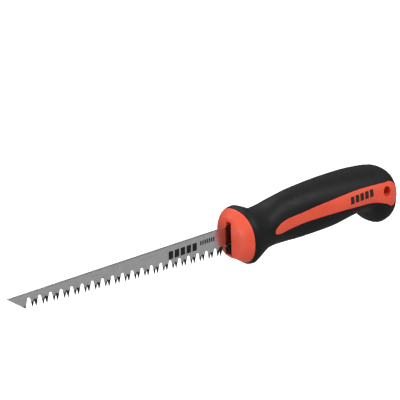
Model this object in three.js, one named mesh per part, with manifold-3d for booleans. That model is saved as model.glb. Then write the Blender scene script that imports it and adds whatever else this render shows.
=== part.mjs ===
// Drywall saw: a pointed steel blade set in a hard plastic core, with a soft rubber grip moulded
// round the core. Millimetres. +X runs from the blade's point to the butt of the handle and +Z is
// up, on the side of the blade's plain spine, so the teeth and the pommel hang to -Z. Y is across.
import * as THREE from "three";
import { ConvexGeometry } from "three/addons/geometries/ConvexGeometry.js";
import { mergeVertices } from "three/addons/utils/BufferGeometryUtils.js";
import Module from "manifold-3d";

const wasm = await Module();
wasm.setup();

// ---- Driving dimensions -------------------------------------------------------------------------

// Blade: lengths run along the spine from the nose face, heights go down from the spine.
const bladeReach = 161.5; // nose face to point
const bladeThickness = 1.3;
const bladeTilt = THREE.MathUtils.degToRad(3.9); // the point rides above the line of the handle
const bladeDrop = 0.8; // spine below the handle's reference line at the nose face
const teethPerInch = 7;
const teethPerGullet = 2;
const firstGullet = 14; // point of the blade to the middle of the first gullet
const gulletTopAtFirst = 3.2; // spine to the top of the first gullet
const gulletTopAtNose = 13.6; // spine to the line of the gullet tops, at the nose face
const toothDepth = 6.4;
const gulletRadius = 0.85;
const toothSpacing = 2.45; // between the two tooth points that stand together
const notchDepth = 3.6;
const pointCorner = 11.6; // point of the blade to the corner where its slanted front edge ends
const toothLand = 0.5; // flat left on every tooth point
const grindWidth = 0.9; // width of a bevel on the blade's face
const grindOver = 0.2; // share by which a cut runs on past the blade's middle and past its face

// Tang: the plain tail of the blade inside the handle.
const shoulderAt = 6; // nose face to the shoulder behind the last tooth
const tangHeight = 12;
const tangLength = 62; // nose face to the tail of the tang
const tangHoleRadius = 2.6;
const tangHoles = [30, 48]; // nose face to the middle of each hole

// Slot in the nose of the handle, where the blade comes out.
const slotHalfWidth = 2.2;
const slotTop = 2.8;
const slotToothClearance = 0.5; // tooth points to the bottom of the slot
const slotDepth = 14;

// Handle: its length, and the section at each place where its outline turns.
const handleLength = 148;
const sectionPower = 2.25; // 2 would be an ellipse; higher is squarer
const sections = [
  { name: "nose", x: 0, top: 4, bottom: -22.6, half: 11.5 },
  { name: "collar", x: 3.5, top: 6.2, bottom: -24.6, half: 15.6 },
  { name: "ring front", x: 7, top: 8.8, bottom: -27.4, half: 17.9 },
  { name: "ring", x: 10.5, top: 9.7, bottom: -29.8, half: 18.5 },
  { name: "ring back", x: 14, top: 8.2, bottom: -28.5, half: 17.7 },
  { name: "neck", x: 24.5, top: 3.2, bottom: -23.6, half: 15.4 },
  { name: "waist", x: 42, top: 6.3, bottom: -25.8, half: 12.8 },
  { name: "palm", x: 58, top: 7.3, bottom: -27.7, half: 13.8 },
  { name: "swell", x: 82, top: 6.4, bottom: -28.6, half: 15.9 },
  { name: "finger rest", x: handleLength - 39, top: 3.9, bottom: -26.3, half: 17.3 },
  { name: "hook front", x: handleLength - 31, top: 2.7, bottom: -27.8, half: 18.1 },
  { name: "hook", x: handleLength - 26, top: 2, bottom: -34.4, half: 19 },
  { name: "hook tip", x: handleLength - 22, top: 1.5, bottom: -39.6, half: 19.6 },
  { name: "pommel", x: handleLength - 18, top: 0.9, bottom: -41.2, half: 19.6 },
  { name: "pommel back", x: handleLength - 14, top: -0.3, bottom: -40.9, half: 18.7 },
];
const buttHeight = -20.5; // where the butt's roundest point lies
const buttPower = 1.7; // how full the butt is; 2 would be an ellipse

// Grip: where the rubber starts, and how thick it is over the core.
const gripStart = 7;
const gripWall = 3.2;
const buttRubber = 12; // from the end of the core's stem to the butt

// Inlay: the strip of the core that shows on both flanks. Heights are in the handle's frame.
const inlayTip = { x: 29.6, z: -9.1, radius: 2.4 };
const inlayTop = [
  [55, -4.2],
  [85, -3],
  [handleLength - 41, -3.4],
  [handleLength - 21, -5.8],
];
const inlayBottom = [
  [handleLength - 22, -20.2],
  [handleLength - 30, -17.4],
  [handleLength - 46, -15.2],
  [84, -13.2],
  [59, -11.9],
];
const inlayEnd = [
  [handleLength - 13, -7.6],
  [handleLength - 9.6, -11],
  [handleLength - 8.4, -16.4],
  [handleLength - 10.2, -21.4],
  [handleLength - 15, -24],
];
const inlayCore = 6; // how far in from the middle of the handle the pads reach

// Hole to hang the saw up by, through the inlays.
const hangHole = { x: handleLength - 20.5, z: -12.2, radius: 3.8 };

// Clearances between the pieces.
const mouldGap = 0.3; // rubber to core
const tangGap = 0.35; // blade to core

// The blade stands off the middle of the handle, close to one wall of its slot.
const bladeSide = slotHalfWidth - tangGap - bladeThickness / 2;

// Fineness of the curved surfaces.
const ringSides = 28;
const ringSpacing = 7;
const rodSides = 24;

// ---- Helpers ------------------------------------------------------------------------------------

function solidOf(geometry) {
  const bare = geometry.index ? geometry.toNonIndexed() : geometry.clone();
  bare.deleteAttribute("normal");
  bare.deleteAttribute("uv");
  const merged = mergeVertices(bare, 1e-4);
  return new wasm.Manifold(
    new wasm.Mesh({
      numProp: 3,
      vertProperties: merged.attributes.position.array,
      triVerts: new Uint32Array(merged.index.array),
    }),
  );
}

function geometryOf(solid) {
  const mesh = solid.getMesh();
  const geometry = new THREE.BufferGeometry();
  geometry.setAttribute("position", new THREE.BufferAttribute(mesh.vertProperties, 3));
  geometry.setIndex(new THREE.BufferAttribute(mesh.triVerts, 1));
  geometry.computeVertexNormals();
  return geometry;
}

// A shape drawn in X and Z, given a thickness across Y from low to high.
function plate(shape, low, high, curveSegments = 8) {
  const geometry = new THREE.ExtrudeGeometry(shape, {
    depth: high - low,
    bevelEnabled: false,
    curveSegments,
  });
  geometry.rotateX(Math.PI / 2); // the shape's Y becomes Z, and its depth runs to -Y
  geometry.translate(0, high, 0);
  return geometry;
}

// A smooth curve through the sections that never swings past them.
function outline(key) {
  const xs = sections.map((s) => s.x);
  const ys = sections.map((s) => s[key]);
  const last = xs.length - 1;
  const step = xs.slice(1).map((x, i) => (ys[i + 1] - ys[i]) / (x - xs[i]));
  const slope = xs.map((_, i) => {
    if (i === 0) return step[0];
    if (i === last) return step[last - 1];
    if (step[i - 1] * step[i] <= 0) return 0;
    return (2 * step[i - 1] * step[i]) / (step[i - 1] + step[i]);
  });
  return (x) => {
    let i = 0;
    while (i < last - 1 && x > xs[i + 1]) i += 1;
    const width = xs[i + 1] - xs[i];
    const t = Math.min(Math.max((x - xs[i]) / width, 0), 1);
    const h00 = (1 + 2 * t) * (1 - t) ** 2;
    const h10 = t * (1 - t) ** 2;
    const h01 = t * t * (3 - 2 * t);
    const h11 = t * t * (t - 1);
    return h00 * ys[i] + h10 * width * slope[i] + h01 * ys[i + 1] + h11 * width * slope[i + 1];
  };
}

const topLine = outline("top");
const bottomLine = outline("bottom");
const halfLine = outline("half");
const lastSection = sections[sections.length - 1];

// The handle's section at x: past the last one it closes in a round to the butt.
function sectionAt(x) {
  const rest = (handleLength - x) / (handleLength - lastSection.x);
  const gone = Math.max(1 - rest, 0) ** buttPower;
  const round = x > lastSection.x ? Math.max(1 - gone, 0) ** (1 / buttPower) : 1;
  const settle = 1 - round;
  const top = topLine(x) * round + buttHeight * settle;
  const bottom = bottomLine(x) * round + buttHeight * settle;
  return { middle: (top + bottom) / 2, tall: (top - bottom) / 2, half: halfLine(x) * round };
}

// The handle's skin from one x to another, taken in by an inset, as a closed body.
function handleBody(from, to, inset) {
  const end = Math.min(to, handleLength - inset);
  const cuts = new Set([from, end]);
  for (const s of sections) cuts.add(s.x);
  const marks = [...cuts].filter((x) => x >= from && x <= end).sort((a, b) => a - b);
  const xs = [marks[0]];
  for (const mark of marks.slice(1)) {
    const start = xs[xs.length - 1];
    const count = Math.ceil((mark - start) / ringSpacing);
    for (let k = 1; k <= count; k += 1) {
      const t = k / count;
      const rounding = mark > lastSection.x;
      const share = rounding ? Math.sin((t * Math.PI) / 2) : t;
      xs.push(start + (mark - start) * share);
    }
  }
  const points = [];
  for (const x of xs) {
    const { middle, tall, half } = sectionAt(x);
    for (let k = 0; k < ringSides; k += 1) {
      const angle = (2 * Math.PI * k) / ringSides;
      const across = Math.cos(angle);
      const up = Math.sin(angle);
      const y = Math.sign(across) * Math.abs(across) ** (2 / sectionPower);
      const z = Math.sign(up) * Math.abs(up) ** (2 / sectionPower);
      const thin = 0.05; // keeps the last ring open, so that the butt closes on a small flat
      points.push(x, y * Math.max(half - inset, thin), middle + z * Math.max(tall - inset, thin));
    }
  }
  const front = points.length / 3;
  points.push(xs[0], 0, sectionAt(xs[0]).middle);
  const back = front + 1;
  points.push(end, 0, sectionAt(end).middle);
  const faces = [];
  for (let i = 0; i < xs.length - 1; i += 1) {
    for (let k = 0; k < ringSides; k += 1) {
      const a = i * ringSides + k;
      const b = i * ringSides + ((k + 1) % ringSides);
      faces.push(a, b, a + ringSides, b, b + ringSides, a + ringSides);
    }
  }
  const lastRing = (xs.length - 1) * ringSides;
  for (let k = 0; k < ringSides; k += 1) {
    const next = (k + 1) % ringSides;
    faces.push(front, next, k, back, lastRing + k, lastRing + next);
  }
  const geometry = new THREE.BufferGeometry();
  geometry.setAttribute("position", new THREE.Float32BufferAttribute(points, 3));
  geometry.setIndex(faces);
  return solidOf(geometry);
}

function rod(x, z, radius, halfLength) {
  const geometry = new THREE.CylinderGeometry(radius, radius, 2 * halfLength, rodSides);
  geometry.translate(x, 0, z);
  return geometry;
}

function box(lowX, highX, lowY, highY, lowZ, highZ) {
  const geometry = new THREE.BoxGeometry(highX - lowX, highY - lowY, highZ - lowZ);
  geometry.translate((lowX + highX) / 2, (lowY + highY) / 2, (lowZ + highZ) / 2);
  return geometry;
}

// From the blade's own frame, spine level at z = 0, to its place in the handle.
function placeBlade(geometry) {
  geometry.rotateY(bladeTilt);
  geometry.translate(0, bladeSide, -bladeDrop);
  return geometry;
}

// ---- Blade --------------------------------------------------------------------------------------

const pitch = (25.4 * teethPerGullet) / teethPerInch;
const bladeTaper = (gulletTopAtNose - gulletTopAtFirst) / (bladeReach - firstGullet);
const gulletTop = (x) => -(gulletTopAtNose + bladeTaper * x);
const toothLine = (x) => gulletTop(x) - toothDepth;
const gulletHalfMouth = (pitch - toothSpacing) / 2;
const toothReach = toothDepth - gulletRadius; // middle of a gullet's round to the tooth points
const gulletFlare = Math.atan2(gulletHalfMouth - toothLand / 2, toothReach)
  - Math.asin(gulletRadius / Math.hypot(gulletHalfMouth - toothLand / 2, toothReach));
const notchFlare = Math.atan2((toothSpacing - toothLand) / 2, notchDepth);
// As many gullets as leave room for their two tooth points before the shoulder.
const toothRoom = bladeReach - firstGullet + shoulderAt - gulletHalfMouth - toothSpacing;
const gulletCount = Math.floor(toothRoom / pitch) + 1;
const gullets = Array.from({ length: gulletCount }, (_, i) => firstGullet - bladeReach + i * pitch);

// The two tooth points after a gullet, and the notch between them.
function toothPair(gullet) {
  const first = gullet + gulletHalfMouth;
  const second = first + toothSpacing;
  const notch = (first + second) / 2;
  return { first, second, notch };
}

function bladeShape() {
  const shape = new THREE.Shape();
  shape.moveTo(-bladeReach, 0);
  const corner = pointCorner - bladeReach;
  shape.lineTo(corner, toothLine(corner));
  const lastTooth = toothPair(gullets[gullets.length - 1]).second;
  shape.lineTo(lastTooth, toothLine(lastTooth));
  shape.lineTo(shoulderAt, -tangHeight);
  shape.lineTo(tangLength, -tangHeight);
  shape.lineTo(tangLength, 0);
  return shape;
}

// A gullet's outline, grown all round: its round top, and flared sides down past the tooth line.
function gulletOutline(gullet, by) {
  const radius = gulletRadius + by;
  const middle = gulletTop(gullet) - gulletRadius;
  const down = toothReach + 1;
  const foot = radius / Math.cos(gulletFlare) + down * Math.tan(gulletFlare);
  const points = [[gullet - foot, middle - down], [gullet + foot, middle - down]];
  const arcSteps = 12;
  for (let i = 0; i <= arcSteps; i++) {
    const turn = gulletFlare + (Math.PI - 2 * gulletFlare) * (i / arcSteps);
    points.push([gullet + radius * Math.cos(turn), middle + radius * Math.sin(turn)]);
  }
  return points;
}

// The outline of the notch between two tooth points, grown all round.
function notchOutline(notch, by) {
  const roof = toothLine(notch) + notchDepth + by / Math.sin(notchFlare);
  const down = notchDepth + by / Math.sin(notchFlare) + 1;
  const foot = down * Math.tan(notchFlare);
  return [[notch, roof], [notch - foot, roof - down], [notch + foot, roof - down]];
}

// What grinding takes out of the blade from one face: the outline at the blade's middle, wider
// towards the face, which leaves a bevel along both edges of the teeth.
function groundOut(outline, face) {
  const depth = bladeThickness / 2;
  const points = [-grindOver, 1 + grindOver].flatMap((share) =>
    outline(grindWidth * share).map(([x, z]) => new THREE.Vector3(x, share * depth * face, z)));
  return solidOf(placeBlade(new ConvexGeometry(points)));
}

const toothCuts = gullets.flatMap((gullet) => [-1, 1].flatMap((face) => [
  groundOut((by) => gulletOutline(gullet, by), face),
  groundOut((by) => notchOutline(toothPair(gullet).notch, by), face),
]));

// A round rod through the tang at one of its holes.
const tangRod = (x, radius) => solidOf(placeBlade(rod(x, -tangHeight / 2, radius, bladeThickness)));

const blank = solidOf(placeBlade(plate(bladeShape(), -bladeThickness / 2, bladeThickness / 2, 1)));
const cuts = [...toothCuts, ...tangHoles.map((x) => tangRod(x, tangHoleRadius))];
const blade = cuts.reduce((solid, cut) => solid.subtract(cut), blank);

// ---- Core ---------------------------------------------------------------------------------------

// A drawn outline moved outwards by a distance all round.
function grown(shape, by) {
  const points = shape.getPoints(8);
  if (points[0].distanceTo(points[points.length - 1]) < 1e-6) points.pop();
  const turn = THREE.ShapeUtils.isClockWise(points) ? -1 : 1;
  const count = points.length;
  const moved = points.map((point, i) => {
    const before = points[(i + count - 1) % count];
    const after = points[(i + 1) % count];
    const along = new THREE.Vector2().subVectors(after, before).normalize();
    return new THREE.Vector2(point.x + along.y * turn * by, point.y - along.x * turn * by);
  });
  return new THREE.Shape(moved);
}

function inlayShape() {
  const { x, z, radius } = inlayTip;
  const through = (points) => points.map(([px, pz]) => new THREE.Vector2(px, pz));
  const shape = new THREE.Shape();
  shape.moveTo(x, z + radius);
  shape.splineThru(through(inlayTop));
  shape.splineThru(through(inlayEnd));
  shape.splineThru(through([...inlayBottom, [x, z - radius]]));
  shape.absarc(x, z, radius, -Math.PI / 2, Math.PI / 2, true);
  return shape;
}

const widest = 1 + Math.max(...sections.map((s) => s.half));
function inlayPads(grow) {
  const outlineShape = grown(inlayShape(), grow);
  const near = solidOf(plate(outlineShape, -widest, grow - inlayCore));
  const far = solidOf(plate(outlineShape, inlayCore - grow, widest));
  return near.add(far);
}

// The slot clears the lowest tooth points by a set distance, where they are still in it.
const lastPoint = toothPair(gullets[gullets.length - 1]).second;
const lowestPoint = toothLine(lastPoint) * Math.cos(bladeTilt) - lastPoint * Math.sin(bladeTilt);
const slotBottom = lowestPoint - bladeDrop - slotToothClearance;
const mouth = 1; // cuts start this far in front of the nose face
const slot = solidOf(box(-mouth, slotDepth, -slotHalfWidth, slotHalfWidth, slotBottom, slotTop));

// The pocket round the tang, with a stud of the core's plastic left through each hole.
function tangPocket() {
  const half = bladeThickness / 2 + tangGap;
  const tail = tangLength + tangGap;
  const pocket = solidOf(placeBlade(box(0, tail, -half, half, -tangHeight - tangGap, tangGap)));
  const studs = tangHoles.map((x) => tangRod(x, tangHoleRadius - tangGap));
  return studs.reduce((solid, stud) => solid.subtract(stud), pocket);
}

const skin = handleBody(0, handleLength, 0);
const collar = handleBody(0, gripStart, 0);
const stemLength = handleLength - buttRubber;
const stem = handleBody(0, stemLength, gripWall);
const hanger = solidOf(rod(hangHole.x, hangHole.z, hangHole.radius, widest));
const handleCore = collar
  .add(stem)
  .add(skin.intersect(inlayPads(0)))
  .subtract(slot)
  .subtract(tangPocket())
  .subtract(hanger);

// ---- Grip ---------------------------------------------------------------------------------------

const gripSkin = handleBody(gripStart + mouldGap, handleLength, 0);
const stemRoom = handleBody(0, stemLength + mouldGap, gripWall - mouldGap);
const grip = gripSkin.subtract(stemRoom).subtract(inlayPads(mouldGap));

// ---- Assembly -----------------------------------------------------------------------------------

function piece(name, solid, look) {
  const mesh = new THREE.Mesh(geometryOf(solid), new THREE.MeshStandardMaterial(look));
  mesh.name = name;
  return mesh;
}

const saw = new THREE.Group();
saw.add(piece("blade", blade, { color: 0x9a9c9f, roughness: 0.35, metalness: 1 }));
saw.add(piece("handle_core", handleCore, { color: 0xe8563b, roughness: 0.4, metalness: 0 }));
saw.add(piece("grip_overmould", grip, { color: 0x26272a, roughness: 0.7, metalness: 0 }));

// The origin is the middle of the saw's overall box.
const middle = new THREE.Box3().setFromObject(saw).getCenter(new THREE.Vector3());
saw.position.copy(middle).negate();

export default saw;
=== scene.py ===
import math

import bpy
from mathutils import Matrix, Vector, kdtree


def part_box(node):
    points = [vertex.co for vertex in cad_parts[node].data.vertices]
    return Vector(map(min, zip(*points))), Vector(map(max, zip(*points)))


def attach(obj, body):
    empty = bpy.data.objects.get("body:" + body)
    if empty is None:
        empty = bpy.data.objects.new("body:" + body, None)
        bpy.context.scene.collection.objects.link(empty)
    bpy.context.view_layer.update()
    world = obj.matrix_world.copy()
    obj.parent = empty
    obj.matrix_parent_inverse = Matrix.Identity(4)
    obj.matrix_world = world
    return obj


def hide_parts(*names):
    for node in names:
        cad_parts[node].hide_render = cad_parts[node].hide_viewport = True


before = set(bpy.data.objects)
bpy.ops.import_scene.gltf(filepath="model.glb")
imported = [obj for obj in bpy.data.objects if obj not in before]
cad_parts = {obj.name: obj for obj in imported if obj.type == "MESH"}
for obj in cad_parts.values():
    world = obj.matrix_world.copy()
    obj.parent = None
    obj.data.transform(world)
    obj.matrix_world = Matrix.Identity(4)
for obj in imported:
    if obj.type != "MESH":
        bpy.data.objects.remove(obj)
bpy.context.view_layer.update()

# Where the saw stands in the frame. Every size below is in millimetres from the middle of the nose
# face, on the handle's reference line: x runs to the butt, y across the handle and z up.
nose_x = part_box("handle_core")[0].x
pommel_drop = 41.2
line_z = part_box("grip_overmould")[0].z + pommel_drop / 1000


def at(x, y, z):
    """A place on the saw, turned into metres in the frame."""
    return Vector((nose_x + x / 1000, y / 1000, line_z + z / 1000))


# ---- Camera -------------------------------------------------------------------------------------
# A long lens from the left, in front of the flank and above it, rolled a little.
azimuth = math.radians(-38.23)
elevation = math.radians(25.94)
roll = math.radians(-2.36)
distance = 748.8
focal_length = 109.5
film_width = 36
aim = at(-22.0, 0, 25.7)

back = Vector((
    math.sin(azimuth) * math.cos(elevation),
    -math.cos(azimuth) * math.cos(elevation),
    math.sin(elevation),
))
level = Vector((math.cos(azimuth), math.sin(azimuth), 0))
upright = back.cross(level)
right = level * math.cos(roll) + upright * math.sin(roll)
up = upright * math.cos(roll) - level * math.sin(roll)
lens = bpy.data.cameras.new("camera")
lens.sensor_width = film_width
lens.lens = focal_length
camera = bpy.data.objects.new("camera", lens)
camera.matrix_world = Matrix((right, up, back)).transposed().to_4x4()
camera.location = aim + back * distance / 1000
bpy.context.scene.collection.objects.link(camera)
bpy.context.scene.camera = camera

# ---- Studio -------------------------------------------------------------------------------------
# A white backdrop and a pale floor some way below the saw. What falls on the saw from them
# is held back to a soft grey, as screens do, so that the soft boxes shape it.
bpy.context.scene.view_settings.view_transform = "Standard"


def by_ray(tree, to_light, to_camera):
    """One value for what the camera sees, and another for everything else that light does."""
    path = tree.nodes.new("ShaderNodeLightPath")
    level_of = tree.nodes.new("ShaderNodeMapRange")
    level_of.inputs["To Min"].default_value = to_light
    level_of.inputs["To Max"].default_value = to_camera
    tree.links.new(path.outputs["Is Camera Ray"], level_of.inputs["Value"])
    return level_of.outputs["Result"]


room = bpy.data.worlds.new("white_room")
room.use_nodes = True
room_tree = room.node_tree
backdrop = room_tree.nodes["Background"]
backdrop.inputs["Color"].default_value = (1, 1, 1, 1)
room_tree.links.new(by_ray(room_tree, 0.30, 1.0), backdrop.inputs["Strength"])
bpy.context.scene.world = room

floor_drop = 400
bpy.ops.object.select_all(action="DESELECT")
bpy.ops.mesh.primitive_plane_add(size=30, location=at(0, 0, -floor_drop))
floor = bpy.context.object
floor.name = "floor"
floor_paint = bpy.data.materials.new("floor_paint")
floor_paint.use_nodes = True
floor_tree = floor_paint.node_tree
paint = floor_tree.nodes["Principled BSDF"]
paint.inputs["Roughness"].default_value = 0.9
paint.inputs["Specular IOR Level"].default_value = 0.1
paint.inputs["Emission Color"].default_value = (1, 1, 1, 1)
floor_tree.links.new(by_ray(floor_tree, 0.30, 0.95), paint.inputs["Base Color"])
floor_tree.links.new(by_ray(floor_tree, 0.0, 0.62), paint.inputs["Emission Strength"])
floor.data.materials.append(floor_paint)


def soft_box(name, place, size, power):
    """A square lamp aimed at the saw's nose."""
    lamp = bpy.data.lights.new(name, "AREA")
    lamp.shape = "SQUARE"
    lamp.size = size / 1000
    lamp.energy = power
    box = bpy.data.objects.new(name, lamp)
    box.location = place
    box.rotation_euler = (at(0, 0, 0) - place).to_track_quat("-Z", "Y").to_euler()
    bpy.context.scene.collection.objects.link(box)


soft_box("key", at(800, -1400, 1800), 1300, 55)
soft_box("fill", at(-1900, -300, 250), 1000, 26)
soft_box("rim", at(300, 1300, 1500), 900, 17)

# ---- Core ---------------------------------------------------------------------------------------
# The handle's body: one injection moulding in glossy orange-red polypropylene. It holds the blade's
# tang in a slot, its flared collar shows at the nose and its two long pads show through the grip.

# Core and grip share one outer skin, whose sections are a little squarer than ellipses. Each is its
# place along the handle, its top, its bottom and its half width.
handle_length = 148
sections = [
    (0, 4, -22.6, 11.5),
    (3.5, 6.2, -24.6, 15.6),
    (7, 8.8, -27.4, 17.9),
    (10.5, 9.7, -29.8, 18.5),
    (14, 8.2, -28.5, 17.7),
    (24.5, 3.2, -23.6, 15.4),
    (42, 6.3, -25.8, 12.8),
    (58, 7.3, -27.7, 13.8),
    (82, 6.4, -28.6, 15.9),
    (109, 3.9, -26.3, 17.3),
    (117, 2.7, -27.8, 18.1),
    (122, 2, -34.4, 19),
    (126, 1.5, -39.6, 19.6),
    (130, 0.9, -41.2, 19.6),
    (134, -0.3, -40.9, 18.7),
]
section_power = 2.25
butt_from = sections[-1][0]
butt_height = -20.5
butt_power = 1.7
grip_start = 7
grip_wall = 3.2
stem_end = handle_length - 12
mould_gap = 0.3


def steps(values):
    return [b - a for a, b in zip(values, values[1:])]


def outline(column):
    """A smooth curve through one column of the sections that never swings past them."""
    xs = [section[0] for section in sections]
    ys = [section[column] for section in sections]
    rises = [dy / dx for dy, dx in zip(steps(ys), steps(xs))]
    slopes = [rises[0]]
    for before, after in zip(rises, rises[1:]):
        same_way = before * after > 0
        slopes.append(2 * before * after / (before + after) if same_way else 0)
    slopes.append(rises[-1])

    def height(x):
        i = max(k for k in range(len(xs) - 1) if k == 0 or xs[k] <= x)
        width = xs[i + 1] - xs[i]
        t = min(max((x - xs[i]) / width, 0), 1)
        start = (1 + 2 * t) * (1 - t) ** 2 * ys[i] + t * (1 - t) ** 2 * width * slopes[i]
        end = t * t * (3 - 2 * t) * ys[i + 1] + t * t * (t - 1) * width * slopes[i + 1]
        return start + end

    return height


top_line = outline(1)
bottom_line = outline(2)
half_line = outline(3)


def section_at(x, inset):
    """Middle height, half height and half width of the skin at x, taken in by the inset."""
    rest = (handle_length - x) / (handle_length - butt_from)
    gone = min(max(1 - rest, 0), 1) ** butt_power
    full = (1 - gone) ** (1 / butt_power) if x > butt_from else 1
    top = top_line(x) * full + butt_height * (1 - full)
    bottom = bottom_line(x) * full + butt_height * (1 - full)
    least = 0.02
    tall = max((top - bottom) / 2 - inset, least)
    half = max(half_line(x) * full - inset, least)
    return (top + bottom) / 2, tall, half


# The rings that the skin is drawn through, closer together towards the tip of the butt.
ring_sides = 80
ring_spacing = 1.6
butt_rings = 18
straight_rings = round(butt_from / ring_spacing)
ring_places = [butt_from * k / straight_rings for k in range(straight_rings + 1)]
for k in range(1, butt_rings + 1):
    closing = math.sin(k / butt_rings * math.pi / 2)
    ring_places.append(butt_from + (handle_length - butt_from) * closing)


def squarer(value):
    """Turns a circle's coordinate into that of the sections' squarer outline."""
    return math.copysign(abs(value) ** (2 / section_power), value)


def ease_top(bar):
    """Smooths the rings where the handle's back turns down into the round of the butt."""
    bpy.ops.mesh.select_all(action="DESELECT")
    bpy.ops.object.mode_set(mode="OBJECT")
    ease_from = at(125, 0, -27)
    for vertex in bar.data.vertices:
        vertex.select = vertex.co.x > ease_from.x and vertex.co.z > ease_from.z
    bpy.ops.object.mode_set(mode="EDIT")
    bpy.ops.mesh.vertices_smooth(factor=0.5, repeat=8)


def drawn_bar(name, start, end, inset):
    """A closed bar pulled out of one ring, through the handle's sections from start to end."""
    bpy.ops.object.select_all(action="DESELECT")
    bpy.ops.mesh.primitive_circle_add(vertices=ring_sides, radius=1, fill_type="NGON")
    bar = bpy.context.object
    bar.name = name
    for vertex in bar.data.vertices:
        vertex.co = (0, squarer(vertex.co.y), squarer(vertex.co.x))
    apart = 0.3
    between = [x for x in ring_places if start + apart < x < end - apart]
    places = [start, *between, end]
    middle, tall, half = section_at(places[0], inset)
    here = at(places[0], 0, middle)
    bpy.ops.object.mode_set(mode="EDIT")
    bpy.ops.mesh.select_all(action="SELECT")
    bpy.ops.transform.resize(value=(1, half / 1000, tall / 1000), center_override=(0, 0, 0))
    bpy.ops.transform.translate(value=here)
    for place in places[1:]:
        next_middle, next_tall, next_half = section_at(place, inset)
        there = at(place, 0, next_middle)
        bpy.ops.mesh.extrude_region_move(TRANSFORM_OT_translate={"value": there - here})
        scale = (1, next_half / half, next_tall / tall)
        bpy.ops.transform.resize(value=scale, center_override=there)
        here, tall, half = there, next_tall, next_half
    if end == handle_length:
        bpy.ops.mesh.merge(type="CENTER")
        ease_top(bar)
    bpy.ops.mesh.select_all(action="SELECT")
    bpy.ops.mesh.normals_make_consistent(inside=False)
    bpy.ops.object.mode_set(mode="OBJECT")
    return bar


def cut(piece, cutter, operation):
    """Joins, cuts or keeps what is common by a second body, which is used up."""
    bpy.ops.object.select_all(action="DESELECT")
    bpy.context.view_layer.objects.active = piece
    piece.select_set(True)
    change = piece.modifiers.new("cut", "BOOLEAN")
    change.operation = operation
    change.solver = "EXACT"
    change.object = cutter
    bpy.ops.object.modifier_apply(modifier=change.name)
    bpy.data.objects.remove(cutter)


# Outline of the inlay, the strip of the core that shows on both flanks: x and z of its points.
inlay_points = [
    (27.2, -9.1), (29.6, -6.7), (55, -4.2), (85, -3), (107, -3.4), (127, -5.8),
    (135, -7.6), (138.4, -11), (139.6, -16.4), (137.8, -21.4), (133, -24),
    (126, -20.2), (118, -17.4), (102, -15.2), (84, -13.2), (59, -11.9), (29.6, -11.5),
]
pad_depth = 6
reach = 24


def inlay_blocks(grow):
    """Two blocks with the inlay's outline, one on each flank, grown all round."""
    curve = bpy.data.curves.new("inlay", "CURVE")
    curve.dimensions = "2D"
    curve.fill_mode = "BOTH"
    curve.offset = grow / 1000
    curve.resolution_u = 10
    spline = curve.splines.new("BEZIER")
    spline.bezier_points.add(len(inlay_points) - 1)
    for knot, (x, z) in zip(spline.bezier_points, inlay_points):
        knot.co = (nose_x + x / 1000, line_z + z / 1000, 0)
        knot.handle_left_type = "AUTO"
        knot.handle_right_type = "AUTO"
    spline.use_cyclic_u = True
    blocks = bpy.data.objects.new("inlay_blocks", curve)
    bpy.context.scene.collection.objects.link(blocks)
    bpy.ops.object.select_all(action="DESELECT")
    bpy.context.view_layer.objects.active = blocks
    blocks.select_set(True)
    blocks.rotation_euler = (math.pi / 2, 0, 0)
    bpy.ops.object.convert(target="MESH")
    bpy.ops.object.transform_apply(location=True, rotation=True, scale=True)
    bpy.ops.object.mode_set(mode="EDIT")
    bpy.ops.mesh.select_all(action="SELECT")
    bpy.ops.mesh.dissolve_limited(angle_limit=math.radians(0.5))
    bpy.ops.mesh.select_all(action="SELECT")
    near = (pad_depth - grow) / 1000
    bpy.ops.transform.translate(value=(0, near, 0))
    bpy.ops.mesh.extrude_region_move(TRANSFORM_OT_translate={"value": (0, reach / 1000 - near, 0)})
    bpy.ops.mesh.select_all(action="SELECT")
    bpy.ops.mesh.duplicate()
    bpy.ops.transform.resize(value=(1, -1, 1), center_override=(0, 0, 0))
    bpy.ops.mesh.select_all(action="SELECT")
    bpy.ops.mesh.normals_make_consistent(inside=False)
    bpy.ops.object.mode_set(mode="OBJECT")
    return blocks


mark_spacing = 0.0001
weld_gap = 0.00002
corner_gap = 0.00022
bevel_room = 2.2


def sharp_corners(piece, angle):
    """The vertices on the piece's sharp edges, and points all along those edges."""
    bpy.ops.mesh.select_all(action="DESELECT")
    bpy.ops.mesh.select_mode(type="EDGE")
    bpy.ops.mesh.edges_select_sharp(sharpness=math.radians(angle))
    bpy.ops.mesh.select_mode(type="VERT")
    bpy.ops.object.mode_set(mode="OBJECT")
    corners = {v.index for v in piece.data.vertices if v.select}
    marks = []
    for edge in piece.data.edges:
        if edge.select:
            a, b = (piece.data.vertices[i].co for i in edge.vertices)
            count = math.ceil((a - b).length / mark_spacing)
            marks += [a.lerp(b, k / count) for k in range(count)]
    bpy.ops.object.mode_set(mode="EDIT")
    return corners, marks


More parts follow.
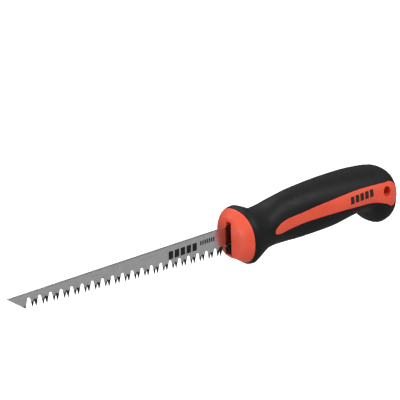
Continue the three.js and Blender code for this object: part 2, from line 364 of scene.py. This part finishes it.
def finish_edges(piece, width, angle):
    """Rounds every sharp edge a little, as a mould leaves them. Corners that lie close together
    are joined first, and the skin's own points are moved off to leave room for the rounding."""
    bpy.ops.object.select_all(action="DESELECT")
    bpy.context.view_layer.objects.active = piece
    piece.select_set(True)
    bpy.ops.object.mode_set(mode="EDIT")
    bpy.ops.mesh.select_all(action="SELECT")
    bpy.ops.mesh.remove_doubles(threshold=weld_gap)
    sharp_corners(piece, angle)
    bpy.ops.mesh.remove_doubles(threshold=corner_gap)
    corners, marks = sharp_corners(piece, angle)
    bpy.ops.object.mode_set(mode="OBJECT")
    tree = kdtree.KDTree(len(marks))
    for i, mark in enumerate(marks):
        tree.insert(mark, i)
    tree.balance()
    clear = bevel_room * width / 1000
    for vertex in piece.data.vertices:
        if vertex.index not in corners:
            nearest, _, gap = tree.find(vertex.co)
            if 0 < gap < clear:
                vertex.co += (vertex.co - nearest) * (clear - gap) / gap
    bevel = piece.modifiers.new("edges", "BEVEL")
    bevel.limit_method = "ANGLE"
    bevel.angle_limit = math.radians(angle)
    bevel.width = width / 1000
    bevel.segments = 3
    bevel.use_clamp_overlap = False
    bpy.ops.object.modifier_apply(modifier=bevel.name)


def shade_like(piece, skin):
    """Smooth shading, with the clean skin's own normals wherever the piece still lies on it."""
    bpy.ops.object.select_all(action="DESELECT")
    bpy.context.view_layer.objects.active = piece
    piece.select_set(True)
    bpy.ops.object.shade_smooth_by_angle(angle=math.radians(40))
    weighted = piece.modifiers.new("weighted", "WEIGHTED_NORMAL")
    weighted.keep_sharp = True
    bpy.ops.object.modifier_apply(modifier=weighted.name)
    borrow = piece.modifiers.new("borrow", "DATA_TRANSFER")
    borrow.object = skin
    borrow.use_loop_data = True
    borrow.data_types_loops = {"CUSTOM_NORMAL"}
    borrow.loop_mapping = "POLYINTERP_NEAREST"
    borrow.use_max_distance = True
    borrow.max_distance = 0.00006
    bpy.ops.object.modifier_apply(modifier=borrow.name)


# The clean skin, only to lend its normals.
skin = drawn_bar("skin", 0, handle_length, 0)
bpy.ops.object.shade_smooth()

# The collar, with its front edge rounded, the stem behind it and the pads on both flanks.
nose_round = 0.6
core = drawn_bar("core", 0, grip_start, 0)
bpy.ops.object.mode_set(mode="EDIT")
bpy.ops.mesh.select_all(action="DESELECT")
bpy.ops.object.mode_set(mode="OBJECT")
for edge in core.data.edges:
    ends = [core.data.vertices[i].co.x for i in edge.vertices]
    edge.select = max(ends) < nose_x + 0.0001
bpy.ops.object.mode_set(mode="EDIT")
bpy.ops.mesh.select_mode(type="EDGE")
bpy.ops.mesh.bevel(offset=nose_round / 1000, segments=4, affect="EDGES")
bpy.ops.mesh.select_mode(type="VERT")
bpy.ops.object.mode_set(mode="OBJECT")
cut(core, drawn_bar("stem", 1, stem_end, grip_wall), "UNION")
pads = drawn_bar("pads", 0, handle_length, 0)
cut(pads, inlay_blocks(0), "INTERSECT")
cut(core, pads, "UNION")

# The blade's slot and the hang hole.
slot_half = 2.2
slot_top = 2.8
slot_bottom = -21
slot_depth = 14
bpy.ops.object.select_all(action="DESELECT")
bpy.ops.mesh.primitive_cube_add(
    size=0.001,
    location=at(slot_depth / 2 - 1, 0, (slot_top + slot_bottom) / 2),
    scale=(slot_depth + 2, 2 * slot_half, slot_top - slot_bottom),
)
cut(core, bpy.context.object, "DIFFERENCE")

hole_x = handle_length - 20.5
hole_z = -12.2
hole_radius = 3.8
bpy.ops.object.select_all(action="DESELECT")
bpy.ops.mesh.primitive_cylinder_add(
    vertices=48,
    radius=hole_radius / 1000,
    depth=2 * reach / 1000,
    location=at(hole_x, 0, hole_z),
    rotation=(math.pi / 2, 0, 0),
)
cut(core, bpy.context.object, "DIFFERENCE")

edge_round = 0.3
edge_angle = 38
finish_edges(core, edge_round, edge_angle)
shade_like(core, skin)


def calc(tree, operation, *values):
    """A Math node on sockets or numbers; gives its result."""
    step = tree.nodes.new("ShaderNodeMath")
    step.operation = operation
    for socket, value in zip(step.inputs, values):
        if isinstance(value, (int, float)):
            socket.default_value = value
        else:
            tree.links.new(value, socket)
    return step.outputs[0]


def spread(tree, value, low, high, to_low=0.0, to_high=1.0):
    """Stretches the stretch of a value from low to high over another range, without overshoot."""
    step = tree.nodes.new("ShaderNodeMapRange")
    step.interpolation_type = "SMOOTHSTEP"
    tree.links.new(value, step.inputs["Value"])
    step.inputs["From Min"].default_value = low
    step.inputs["From Max"].default_value = high
    step.inputs["To Min"].default_value = to_low
    step.inputs["To Max"].default_value = to_high
    return step.outputs["Result"]


def blend(tree, share, first, second):
    """A colour between two colours, each a socket or three numbers."""
    step = tree.nodes.new("ShaderNodeMix")
    step.data_type = "RGBA"
    tree.links.new(share, step.inputs["Factor"])
    for socket, value in ((step.inputs[6], first), (step.inputs[7], second)):
        if isinstance(value, tuple):
            socket.default_value = (*value, 1)
        else:
            tree.links.new(value, socket)
    return step.outputs[2]


def noise(tree, place, scale, detail=2.0, roughness=0.5):
    """A value that wanders between 0 and 1, at a scale in cycles per millimetre."""
    step = tree.nodes.new("ShaderNodeTexNoise")
    tree.links.new(place, step.inputs["Vector"])
    step.inputs["Scale"].default_value = scale
    step.inputs["Detail"].default_value = detail
    step.inputs["Roughness"].default_value = roughness
    return step.outputs["Fac"]


def new_group(name, inputs, outputs):
    """An empty node group, and the sockets inside it to read from and write to."""
    group = bpy.data.node_groups.new(name, "ShaderNodeTree")
    for socket, kind, value in inputs:
        made = group.interface.new_socket(socket, in_out="INPUT", socket_type=kind)
        if value is not None:
            made.default_value = value
    for socket in outputs:
        group.interface.new_socket(socket, in_out="OUTPUT", socket_type="NodeSocketFloat")
    start = group.nodes.new("NodeGroupInput")
    end = group.nodes.new("NodeGroupOutput")
    return group, start.outputs, end.inputs


def placed(tree, group, **values):
    """Puts a node group into a material; gives its outputs."""
    step = tree.nodes.new("ShaderNodeGroup")
    step.node_tree = group
    for name, value in values.items():
        socket = step.inputs[name]
        if isinstance(value, (int, float)):
            socket.default_value = value
        else:
            tree.links.new(value, socket)
    return step.outputs


def new_material(name, colour, roughness, metallic, specular):
    """A material, its node tree and its shader, with plain values to start from."""
    material = bpy.data.materials.new(name)
    material.use_nodes = True
    tree = material.node_tree
    shader = tree.nodes["Principled BSDF"]
    shader.inputs["Base Color"].default_value = (*colour, 1)
    shader.inputs["Roughness"].default_value = roughness
    shader.inputs["Metallic"].default_value = metallic
    shader.inputs["Specular IOR Level"].default_value = specular
    return material, tree, shader


def in_millimetres(tree, origin, tilt=0.0):
    """Object coordinates turned into millimetres from an origin, along a tilted x."""
    place = tree.nodes.new("ShaderNodeTexCoord")
    mapping = tree.nodes.new("ShaderNodeMapping")
    mapping.vector_type = "TEXTURE"
    mapping.inputs["Location"].default_value = origin
    mapping.inputs["Rotation"].default_value = (0, tilt, 0)
    mapping.inputs["Scale"].default_value = (0.001, 0.001, 0.001)
    tree.links.new(place.outputs["Object"], mapping.inputs["Vector"])
    return mapping.outputs["Vector"]


def stretched(tree, place, along, across, up):
    """A place with its three directions scaled, to stretch a pattern."""
    step = tree.nodes.new("ShaderNodeVectorMath")
    step.operation = "MULTIPLY"
    tree.links.new(place, step.inputs[0])
    step.inputs[1].default_value = (along, across, up)
    return step.outputs[0]


def parts_of(tree, vector):
    """The x, y and z of a vector."""
    step = tree.nodes.new("ShaderNodeSeparateXYZ")
    tree.links.new(vector, step.inputs[0])
    return step.outputs["X"], step.outputs["Y"], step.outputs["Z"]


def bump(tree, shader, height, depth):
    """Fine relief, its depth in millimetres."""
    step = tree.nodes.new("ShaderNodeBump")
    step.inputs["Strength"].default_value = 1.0
    step.inputs["Distance"].default_value = depth / 1000
    tree.links.new(height, step.inputs["Height"])
    tree.links.new(step.outputs["Normal"], shader.inputs["Normal"])


# Wear: where an edge is rounded over within a reach, from the turn of its normal, in patches.
wear, wear_in, wear_out = new_group(
    "edge_wear",
    [("Place", "NodeSocketVector", None), ("Reach", "NodeSocketFloat", 0.0005)],
    ["Edge"],
)
rounded = wear.nodes.new("ShaderNodeBevel")
rounded.samples = 6
wear.links.new(wear_in["Reach"], rounded.inputs["Radius"])
straight = wear.nodes.new("ShaderNodeNewGeometry")
turn = wear.nodes.new("ShaderNodeVectorMath")
turn.operation = "DOT_PRODUCT"
wear.links.new(rounded.outputs["Normal"], turn.inputs[0])
wear.links.new(straight.outputs["Normal"], turn.inputs[1])
sharpness = spread(wear, turn.outputs["Value"], 0.985, 0.86)
patches = spread(wear, noise(wear, wear_in["Place"], 0.35, 3), 0.35, 0.7)
wear.links.new(calc(wear, "MULTIPLY", sharpness, patches), wear_out["Edge"])

# Print: a row of plain blocks in ink, on the near side of a flat part. Sizes in millimetres.
row, row_in, row_out = new_group(
    "printed_row",
    [
        ("Place", "NodeSocketVector", None),
        ("Start", "NodeSocketFloat", 0.0),
        ("Pitch", "NodeSocketFloat", 1.0),
        ("Share", "NodeSocketFloat", 0.7),
        ("Count", "NodeSocketFloat", 4.0),
        ("Middle", "NodeSocketFloat", 0.0),
        ("Height", "NodeSocketFloat", 1.0),
    ],
    ["Ink"],
)
row_x, row_y, row_z = parts_of(row, row_in["Place"])
number = calc(row, "DIVIDE", calc(row, "SUBTRACT", row_x, row_in["Start"]), row_in["Pitch"])
in_block = calc(row, "LESS_THAN", calc(row, "FRACT", number), row_in["Share"])
begun = calc(row, "GREATER_THAN", number, 0.0)
in_row = calc(row, "MULTIPLY", begun, calc(row, "LESS_THAN", number, row_in["Count"]))
off_middle = calc(row, "ABSOLUTE", calc(row, "SUBTRACT", row_z, row_in["Middle"]))
in_height = calc(row, "LESS_THAN", calc(row, "MULTIPLY", off_middle, 2.0), row_in["Height"])
facing = row.nodes.new("ShaderNodeNewGeometry")
near_side = calc(row, "LESS_THAN", parts_of(row, facing.outputs["True Normal"])[1], -0.6)
inked = calc(row, "MULTIPLY", in_block, in_row)
inked = calc(row, "MULTIPLY", inked, calc(row, "MULTIPLY", in_height, near_side))
specks = spread(row, noise(row, row_in["Place"], 1.6, 3), 0.16, 0.30, 0.7, 1.0)
row.links.new(calc(row, "MULTIPLY", inked, specks), row_out["Ink"])

# Core plastic: glossy orange-red polypropylene with a faint spark grain from the mould. Its tone
# drifts a little, rubbed edges are paler, and painted shade darkens it where it meets the rubber and
# in its hollows.
red_tones = (0.68, 0.075, 0.036), (0.74, 0.090, 0.046)
rubbed_red = (0.95, 0.30, 0.20)
painted_seam_shade_tone = (0.10, 0.008, 0.006)
red_ink = (0.018, 0.010, 0.010)
seam_shade_reach = 1.2
grain_depth = 0.012

red, red_tree, red_shader = new_material("core_plastic", red_tones[0], 0.4, 0, 0.35)
red_place = in_millimetres(red_tree, at(0, 0, 0))
flow = noise(red_tree, stretched(red_tree, red_place, 0.5, 1, 1), 0.09, 3)
tone = blend(red_tree, spread(red_tree, flow, 0.3, 0.7), *red_tones)
red_wear = placed(red_tree, wear, Place=red_place, Reach=0.0005)["Edge"]
tone = blend(red_tree, calc(red_tree, "MULTIPLY", red_wear, 0.35), tone, rubbed_red)
# Painted shade: the colour turns dark red where ambient occlusion finds the rubber, the slot walls
# or the hang hole close by.
seam_occlusion = red_tree.nodes.new("ShaderNodeAmbientOcclusion")
seam_occlusion.samples = 8
seam_occlusion.inputs["Distance"].default_value = seam_shade_reach / 1000
painted_seam_shade = spread(red_tree, seam_occlusion.outputs["AO"], 0.30, 0.75, 0.85, 0.0)
tone = blend(red_tree, painted_seam_shade, tone, painted_seam_shade_tone)
mark = placed(
    red_tree, row, Place=red_place, Start=94.0, Pitch=4.35, Share=0.74, Count=4.8,
    Middle=-8.6, Height=5.4,
)["Ink"]
tone = blend(red_tree, mark, tone, red_ink)
red_tree.links.new(tone, red_shader.inputs["Base Color"])
gloss = spread(red_tree, flow, 0.3, 0.7, 0.42, 0.52)
gloss = calc(red_tree, "ADD", gloss, calc(red_tree, "MULTIPLY", mark, 0.2))
red_tree.links.new(gloss, red_shader.inputs["Roughness"])
spark = noise(red_tree, red_place, 4.0, 2)
relief = calc(red_tree, "ADD", spark, calc(red_tree, "MULTIPLY", mark, 0.5))
bump(red_tree, red_shader, relief, grain_depth)
core.data.materials.clear()
core.data.materials.append(red)
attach(core, "root")
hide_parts("handle_core")

# ---- Grip ---------------------------------------------------------------------------------------
# The soft grip: black thermoplastic rubber moulded over the core from the collar's rim to the butt.
# It is bonded to the core and leaves open the nose, the two pads and the hang hole.

grip = drawn_bar("grip", grip_start + mould_gap, handle_length, 0)
cut(grip, drawn_bar("room", 0, stem_end + mould_gap, grip_wall - mould_gap), "DIFFERENCE")
cut(grip, inlay_blocks(mould_gap), "DIFFERENCE")
finish_edges(grip, edge_round, edge_angle)

# Dimples: small round hollows moulded into the top of the grip, in staggered rows.
dimple_rows = [-7.0, -4.2, -1.4, 1.4, 4.2, 7.0]
dimple_from = 48.3
dimple_to = 106
dimple_pitch = 5.2
dimple_ball = 1.05
dimple_sink = 0.45


def skin_top(x, y):
    """Height of the skin's upper side."""
    middle, tall, half = section_at(x, 0)
    return middle + tall * (1 - abs(y / half) ** section_power) ** (1 / section_power)


bpy.ops.object.select_all(action="DESELECT")
bpy.ops.mesh.primitive_uv_sphere_add(segments=16, ring_count=10, radius=dimple_ball / 1000)
ball = bpy.context.object
balls = []
for rank, y in enumerate(dimple_rows):
    x = dimple_from + (rank % 2) * dimple_pitch / 2
    while x < dimple_to:
        copy = ball.copy()
        copy.data = ball.data.copy()
        copy.location = at(x, y, skin_top(x, y) + dimple_ball - dimple_sink)
        bpy.context.scene.collection.objects.link(copy)
        balls.append(copy)
        x += dimple_pitch
bpy.data.objects.remove(ball)
bpy.ops.object.select_all(action="DESELECT")
for copy in balls:
    copy.select_set(True)
bpy.context.view_layer.objects.active = balls[0]
bpy.ops.object.join()
bpy.ops.object.transform_apply(location=True, rotation=True, scale=True)
cut(grip, balls[0], "DIFFERENCE")
shade_like(grip, skin)
bpy.data.objects.remove(skin)

# Grip rubber: black thermoplastic rubber with a fine matt grain, a little dusty and rubbed paler.
black_tones = (0.0040, 0.0044, 0.0046), (0.0070, 0.0074, 0.0078)
rubbed_black = (0.018, 0.019, 0.020)
dust_grey = (0.018, 0.018, 0.018)
pore_depth = 0.03

black, black_tree, black_shader = new_material("grip_rubber", black_tones[0], 0.6, 0, 0.19)
black_place = in_millimetres(black_tree, at(0, 0, 0))
cloud = noise(black_tree, black_place, 0.12, 4, 0.6)
shade = blend(black_tree, spread(black_tree, cloud, 0.3, 0.7), *black_tones)
rubbed = placed(black_tree, wear, Place=black_place, Reach=0.0006)["Edge"]
shade = blend(black_tree, calc(black_tree, "MULTIPLY", rubbed, 0.4), shade, rubbed_black)
dust = spread(black_tree, noise(black_tree, black_place, 1.6, 5, 0.7), 0.60, 0.74, 0.0, 0.35)
shade = blend(black_tree, dust, shade, dust_grey)
black_tree.links.new(shade, black_shader.inputs["Base Color"])
dullness = spread(black_tree, cloud, 0.3, 0.7, 0.50, 0.62)
black_tree.links.new(dullness, black_shader.inputs["Roughness"])
pores = noise(black_tree, black_place, 5.5, 2)
bump(black_tree, black_shader, pores, pore_depth)
grip.data.materials.clear()
grip.data.materials.append(black)
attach(grip, "root")
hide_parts("grip_overmould")

# ---- Blade --------------------------------------------------------------------------------------
# The saw blade: a ground strip of spring steel held in the handle's slot, with pairs of teeth ground
# on both faces and hardened dark, and two rows of print. Its shape is the frame's own.

# The blade tilts against the handle, and its spine starts a little below the reference line.
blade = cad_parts["blade"]
tilt = math.radians(3.9)
spine_drop = 0.8
steel_tones = (0.64, 0.64, 0.65), (0.72, 0.72, 0.73)
line_tone = (0.80, 0.80, 0.81)
spine_tone = (0.26, 0.26, 0.25)
stain_tone = (0.32, 0.31, 0.29)
collar_tone = (0.24, 0.23, 0.23)
burnt_and_shade_tones = (0.010, 0.010, 0.012), (0.030, 0.029, 0.030)
blade_ink = (0.012, 0.012, 0.014)
scratch_depth = 0.006

# Ground steel: fine lines along the blade, a dark spine edge, faint stains and less light by the
# collar.
steel, steel_tree, steel_shader = new_material("blade_steel", steel_tones[0], 0.2, 1, 0.15)
steel_place = in_millimetres(steel_tree, at(0, 0, -spine_drop), tilt)
steel_x, steel_y, steel_z = parts_of(steel_tree, steel_place)
lines = noise(steel_tree, stretched(steel_tree, steel_place, 0.12, 1, 6), 1.0, 3, 0.6)
mottle = noise(steel_tree, steel_place, 0.22, 4, 0.6)
metal = blend(steel_tree, spread(steel_tree, mottle, 0.3, 0.7), *steel_tones)
metal = blend(steel_tree, spread(steel_tree, lines, 0.42, 0.75, 0.0, 0.30), metal, line_tone)
spine = spread(steel_tree, steel_z, -0.5, -0.1, 0.0, 0.45)
metal = blend(steel_tree, spine, metal, spine_tone)
stain = spread(steel_tree, noise(steel_tree, steel_place, 0.9, 5, 0.7), 0.62, 0.76, 0.0, 0.25)
metal = blend(steel_tree, stain, metal, stain_tone)
by_collar = spread(steel_tree, steel_x, -13.0, -2.0, 0.0, 0.55)
metal = blend(steel_tree, by_collar, metal, collar_tone)

# Hardening and painted shade: how high above the line of the tooth points the steel is drawn dark.
# The hardening runs up from the front of each pair of teeth to its back. It reaches higher as
# painted shade where a bevel faces the butt and by the collar. It leaves out most of the blade's own
# point.
tooth_line = -20.0
tooth_taper = 0.0705
pair_pitch = 7.257
first_gullet = -147.5
phase = calc(steel_tree, "DIVIDE", calc(steel_tree, "SUBTRACT", steel_x, first_gullet), pair_pitch)
shape = steel_tree.nodes.new("ShaderNodeNewGeometry")
facing_x = parts_of(steel_tree, shape.outputs["True Normal"])[0]
reach_up = spread(steel_tree, calc(steel_tree, "FRACT", phase), 0.2, 0.5, 3.6, 4.9)
# Painted shade: the dark reaches higher on bevels facing the butt and on the teeth by the collar.
for more in (
    spread(steel_tree, facing_x, 0.1, 0.4, 0.0, 0.8),
    spread(steel_tree, phase, -0.3, 0.0, -3.0, 0.0),
    spread(steel_tree, steel_x, -10.0, -6.0, 0.0, 2.5),
):
    reach_up = calc(steel_tree, "ADD", reach_up, more)
height = calc(steel_tree, "SUBTRACT", steel_z, tooth_line)
height = calc(steel_tree, "ADD", height, calc(steel_tree, "MULTIPLY", steel_x, tooth_taper))
height = calc(steel_tree, "ADD", height, calc(steel_tree, "MULTIPLY", mottle, 0.8))
hardening_and_shade = spread(steel_tree, calc(steel_tree, "SUBTRACT", height, reach_up), -0.2, 0.9, 1.0, 0.0)
# Burnt tone for the hardened teeth, also used as painted shade on butt-facing bevels and by the
# collar.
metal = blend(steel_tree, hardening_and_shade, metal, blend(steel_tree, mottle, *burnt_and_shade_tones))

# Print: a large row and a small row by the collar.
large = placed(
    steel_tree, row, Place=steel_place, Start=-47.5, Pitch=4.7, Share=0.74, Count=4.8,
    Middle=-6.5, Height=5.4,
)["Ink"]
small = placed(
    steel_tree, row, Place=steel_place, Start=-22.5, Pitch=1.75, Share=0.62, Count=6.8,
    Middle=-5.2, Height=3.0,
)["Ink"]
ink = calc(steel_tree, "MAXIMUM", large, small)
metal = blend(steel_tree, ink, metal, blade_ink)
steel_tree.links.new(metal, steel_shader.inputs["Base Color"])
dull = calc(steel_tree, "MAXIMUM", ink, calc(steel_tree, "MULTIPLY", hardening_and_shade, 0.92))
steel_tree.links.new(calc(steel_tree, "SUBTRACT", 1.0, dull), steel_shader.inputs["Metallic"])
polish = spread(steel_tree, lines, 0.3, 0.75, 0.24, 0.15)
polish = calc(steel_tree, "ADD", polish, calc(steel_tree, "MULTIPLY", dull, 0.4))
steel_tree.links.new(polish, steel_shader.inputs["Roughness"])
scratches = calc(steel_tree, "ADD", lines, calc(steel_tree, "MULTIPLY", ink, 0.6))
bump(steel_tree, steel_shader, scratches, scratch_depth)
blade.material_slots[0].material = steel
